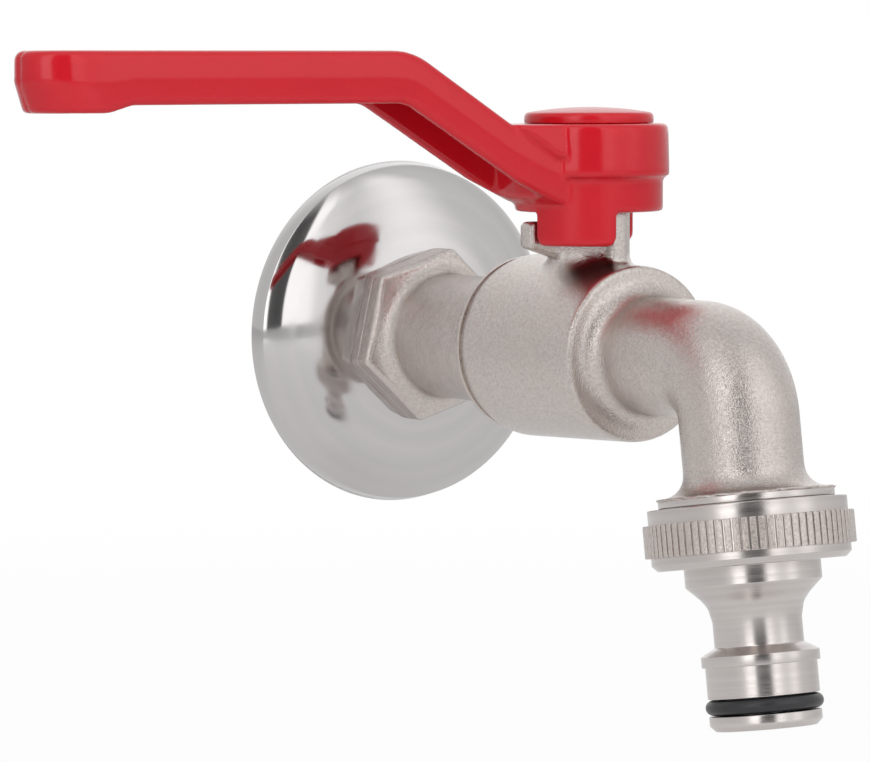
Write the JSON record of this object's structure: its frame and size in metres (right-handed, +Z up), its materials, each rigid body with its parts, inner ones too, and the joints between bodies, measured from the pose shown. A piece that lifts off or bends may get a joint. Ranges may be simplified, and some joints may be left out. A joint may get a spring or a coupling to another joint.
{
  "type": "outdoor ball tap",
  "caption": "Outdoor wall tap with a cranked lever, ball valve, bent spout, wall rose and click-on hose nozzle.",
  "frame": {"origin": "on the inlet's axis, in the plane of the wall's face", "axes": "+Z up, +Y into the wall along the inlet thread; the spout is towards -Y and the lever at rest towards -X"},
  "size_m": [0.1301, 0.1206, 0.1],
  "materials": {
    "polished_steel": "mirror polished stainless steel",
    "blasted_nickel": "blasted brass casting, matt nickel plated",
    "turned_nickel": "turned brass, satin nickel plated",
    "bare_brass": "turned",
    "plated_ball": "turned brass, hard chromed",
    "zinc_steel": "zinc plated",
    "red_coating": "gloss powder coating on an aluminium die casting",
    "red_plastic": "gloss",
    "black_rubber": "moulded",
    "white_plastic": "turned fluoroplastic"
  },
  "bodies": {
    "tap_body": {"wall_rose": "polished_steel", "inlet_connector": "blasted_nickel", "valve_body": "blasted_nickel", "inlet_seat": "white_plastic", "outlet_seat": "white_plastic", "thrust_washer": "white_plastic", "tap_connector": "turned_nickel", "connector_washer": "black_rubber", "nozzle_o_ring": "black_rubber"},
    "lever": {"lever_handle": "red_coating", "handle_cap": "red_plastic", "lock_washer": "zinc_steel", "handle_nut": "zinc_steel", "stem": "bare_brass", "stem_o_rings": "black_rubber", "ball": "plated_ball"}
  },
  "joints": [
    {"name": "lever_turn", "type": "hinge", "parent": "tap_body", "child": "lever", "pos_m": [0, -0.055, 0], "axis": [0, 0, 1], "range_deg": [0, 90]}
  ]
}
